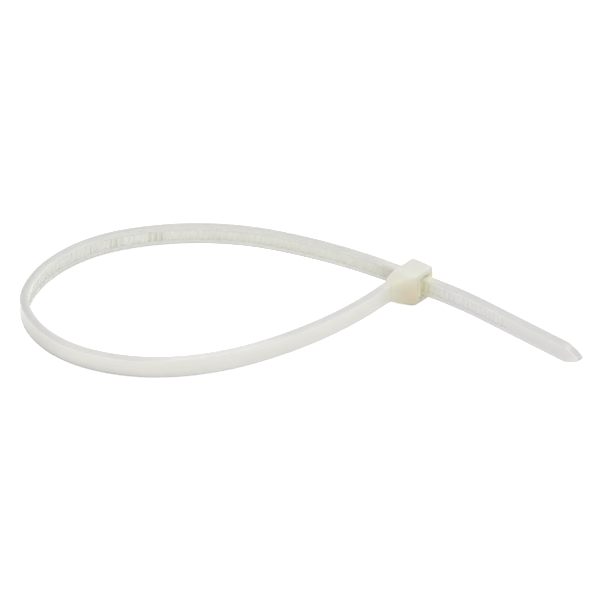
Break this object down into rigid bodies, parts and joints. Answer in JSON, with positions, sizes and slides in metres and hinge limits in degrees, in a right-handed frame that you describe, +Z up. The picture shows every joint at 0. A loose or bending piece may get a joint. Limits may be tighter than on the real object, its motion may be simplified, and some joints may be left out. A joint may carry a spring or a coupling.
{
  "type": "cable tie",
  "caption": "Slim natural nylon cable tie, closed into a loose teardrop loop through its own locking head, with a pointed tail.",
  "frame": {"origin": "middle of the tie's outer box, on the surface that it lies on", "axes": "+Z is up, across the strap's width; +X runs from the far end of the loop to the tail; +Y points to the strap that runs back into the window, away from the head's own strap"},
  "size_m": [0.0708, 0.0324, 0.0044],
  "materials": {
    "natural_nylon": "natural milky nylon, as moulded: a soft satin skin, slightly see-through at thin edges, warmer where it is thick"
  },
  "bodies": {
    "root": {"cable_tie": "natural_nylon"}
  },
  "joints": []
}
